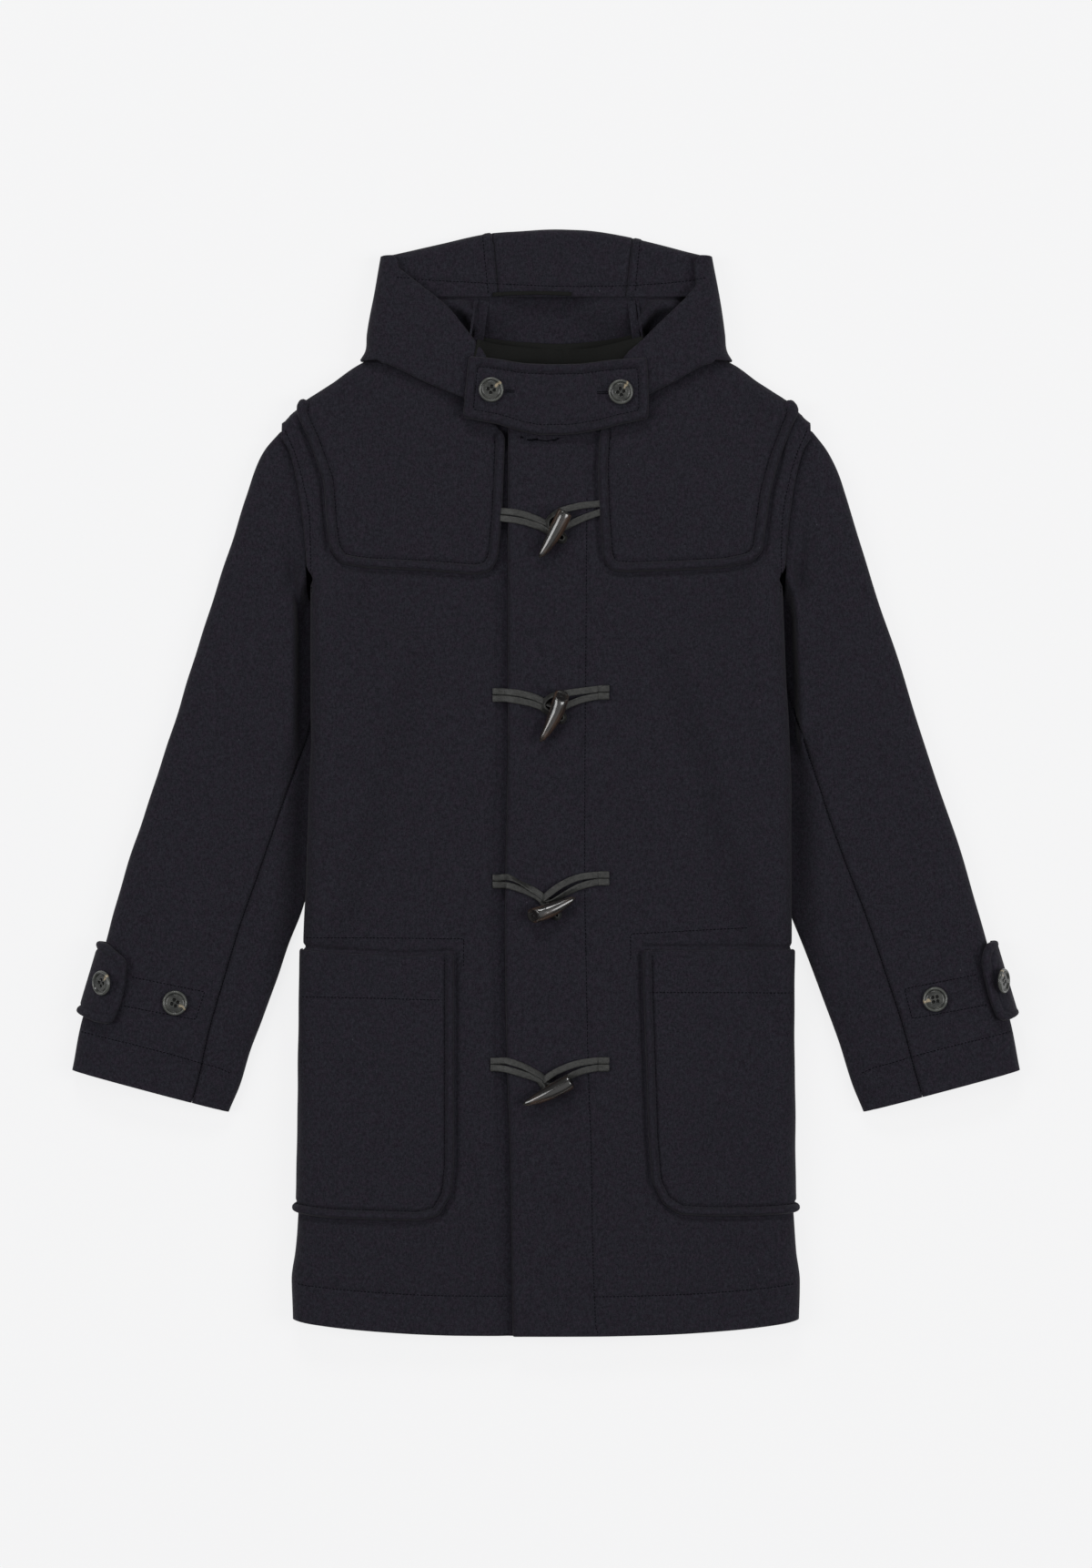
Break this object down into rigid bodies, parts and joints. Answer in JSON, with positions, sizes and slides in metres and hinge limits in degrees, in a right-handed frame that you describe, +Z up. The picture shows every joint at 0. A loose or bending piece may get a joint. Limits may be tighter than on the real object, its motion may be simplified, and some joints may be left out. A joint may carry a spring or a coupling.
{
  "type": "duffle coat",
  "caption": "Navy wool duffle coat laid out flat on its back, with folded hood, toggle fastenings, patch pockets, throat tab and buttoned cuff tabs.",
  "frame": {"origin": "middle of the coat's overall length and width, on the surface it lies on", "axes": "+Z up from the surface through the coat's front, +Y from the hem to the hood, +X towards the wearer's left"},
  "size_m": [0.888, 1.0345, 0.048],
  "materials": {
    "melton": "thick milled wool with a short nap, very dark navy",
    "leather": "smooth near-black leather with a slight sheen",
    "horn": "polished dark horn",
    "button": "polished dark marbled button"
  },
  "bodies": {
    "root": {"front_left": "melton", "front_right": "melton", "facing_left": "melton", "pocket_left": "melton", "pocket_right": "melton", "yoke_left": "melton", "yoke_right": "melton", "back_left": "melton", "back_right": "melton", "yoke_back": "melton", "sleeve_left_upper": "melton", "sleeve_left_under": "melton", "cuff_tab_left": "melton", "sleeve_right_upper": "melton", "sleeve_right_under": "melton", "cuff_tab_right": "melton", "hood_right": "melton", "hood_crown_right": "melton", "hood_left": "melton", "hood_crown_left": "melton", "hood_center": "melton", "throat_tab": "melton", "button_throat_left": "button", "button_throat_right": "button", "button_sleeve_left": "button", "button_sleeve_right": "button", "button_tab_left": "button", "button_tab_right": "button", "loop_1": "leather", "cord_1": "leather", "toggle_1": "horn", "loop_2": "leather", "cord_2": "leather", "toggle_2": "horn", "loop_3": "leather", "cord_3": "leather", "toggle_3": "horn", "loop_4": "leather", "cord_4": "leather", "toggle_4": "horn"}
  },
  "joints": []
}
